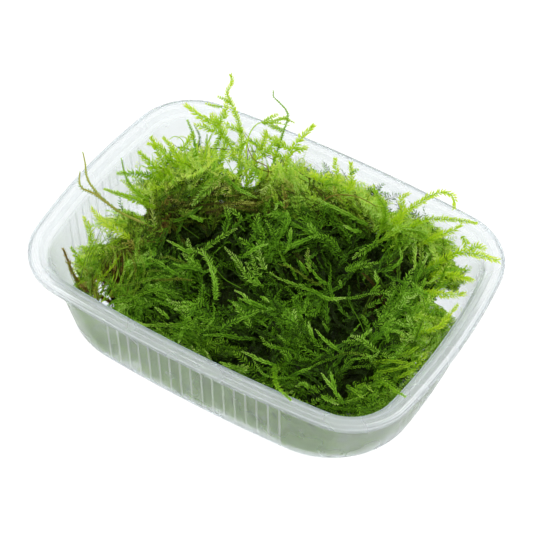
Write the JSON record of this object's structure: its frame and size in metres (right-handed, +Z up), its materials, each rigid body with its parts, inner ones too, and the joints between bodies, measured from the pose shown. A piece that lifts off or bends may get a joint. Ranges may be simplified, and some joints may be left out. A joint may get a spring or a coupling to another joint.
{
  "type": "christmas moss in a plastic tub",
  "caption": "Shallow clear ribbed plastic tub with rounded corners, filled by a tangled clump of leafy aquarium moss with shoots that stand up past the rim.",
  "frame": {"origin": "middle of the tub's flat base, on the surface it stands on", "axes": "+X along the tub's length, +Y along its width, +Z up"},
  "size_m": [0.137, 0.1008, 0.0574],
  "materials": {
    "tub_plastic": "clear, slightly milky moulded polypropylene with fine ribs",
    "moss": "tangle of damp, finely leaved shoots, from dark green in the hollows to yellow green at the tips",
    "young_shoots": "thin yellow green leafy shoots that let light through",
    "old_stems": "dull brown wiry old stems"
  },
  "bodies": {
    "root": {"tub": "tub_plastic", "moss_clump": "moss", "shoot_tallest": "young_shoots", "shoot_left_feather": "young_shoots", "shoot_back_arch": "young_shoots", "shoot_yellow_runner": "young_shoots", "shoot_whip": "young_shoots", "shoot_back_bushy": "young_shoots", "shoot_back_feather": "young_shoots", "shoot_brown_back": "old_stems", "shoot_upright": "young_shoots", "shoot_hooked": "young_shoots", "shoot_fan_left": "young_shoots", "shoot_fan_right": "young_shoots", "shoot_fork_long": "young_shoots", "shoot_fork_short": "young_shoots", "shoot_fork_leafy": "young_shoots", "shoot_thin_upright": "young_shoots", "shoot_side_frond": "young_shoots", "shoot_small_tip": "young_shoots", "shoot_pale_frond": "young_shoots", "shoot_left_leafy": "young_shoots", "shoot_left_stub": "young_shoots", "shoot_brown_wall": "old_stems", "shoot_back_tuft_left": "young_shoots", "shoot_back_tuft_right": "young_shoots", "shoot_brown_arch": "old_stems", "shoot_green_blade": "young_shoots", "shoot_curled": "young_shoots", "shoot_reaching": "young_shoots", "shoot_right_feather": "young_shoots", "shoot_right_tuft": "young_shoots", "shoot_right_low": "young_shoots", "shoot_right_wall": "young_shoots", "shoot_right_corner": "young_shoots", "shoot_over_near_rim": "young_shoots", "shoot_over_near_corner": "young_shoots", "shoot_front_right_tip": "young_shoots"}
  },
  "joints": []
}
